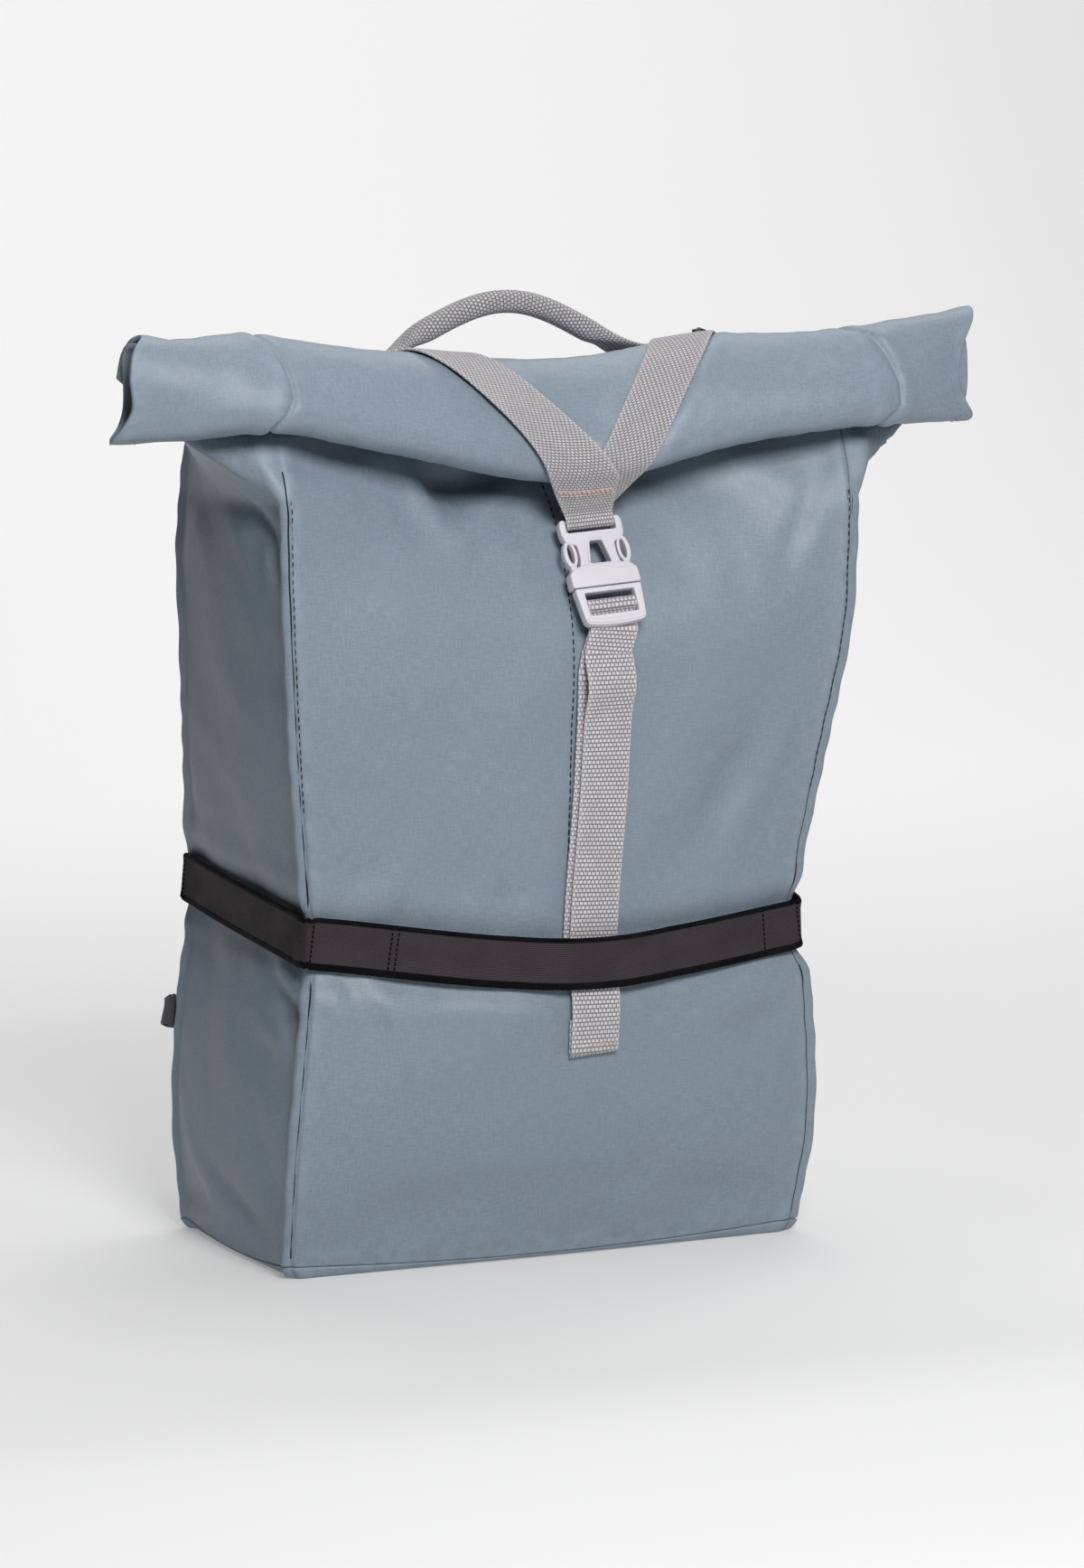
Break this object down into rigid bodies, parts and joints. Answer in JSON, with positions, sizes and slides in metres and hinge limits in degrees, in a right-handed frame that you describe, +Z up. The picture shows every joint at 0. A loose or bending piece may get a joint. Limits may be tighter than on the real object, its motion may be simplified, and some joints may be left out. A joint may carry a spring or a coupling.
{
  "type": "rolltop backpack",
  "caption": "Coated cloth backpack with a rolled top held by crossing webbings and a side-release buckle, an elastic band round its body, a carry handle and padded shoulder straps.",
  "frame": {"origin": "on the floor under the middle of the base", "axes": "+X to the viewer's right, +Y from the front of the bag to its back, +Z up"},
  "size_m": [0.5193, 0.2653, 0.5446],
  "materials": {
    "tarpaulin": "coated woven polyester, satin, blue-grey",
    "webbing": "plain woven webbing, matte, light grey",
    "elastic": "woven elastic, matte, near black",
    "buckle": "moulded, satin, light grey",
    "padding": "woven cover over foam, matte, dark grey",
    "bead": "moulded, glossy, black"
  },
  "bodies": {
    "root": {"base_panel": "tarpaulin", "front_panel": "tarpaulin", "side_panel_right": "tarpaulin", "back_panel": "tarpaulin", "side_panel_left": "tarpaulin", "rolltop_center": "tarpaulin", "rolltop_left": "tarpaulin", "rolltop_right": "tarpaulin", "elastic_band": "elastic", "v_strap_left": "webbing", "v_strap_right": "webbing", "closure_strap": "webbing", "buckle_upper": "buckle", "buckle_lower": "buckle", "carry_handle": "webbing", "top_tab": "webbing", "top_bead": "bead", "shoulder_pad_left": "padding", "shoulder_pad_right": "padding", "lower_webbing_left": "padding", "lower_webbing_right": "padding"}
  },
  "joints": []
}
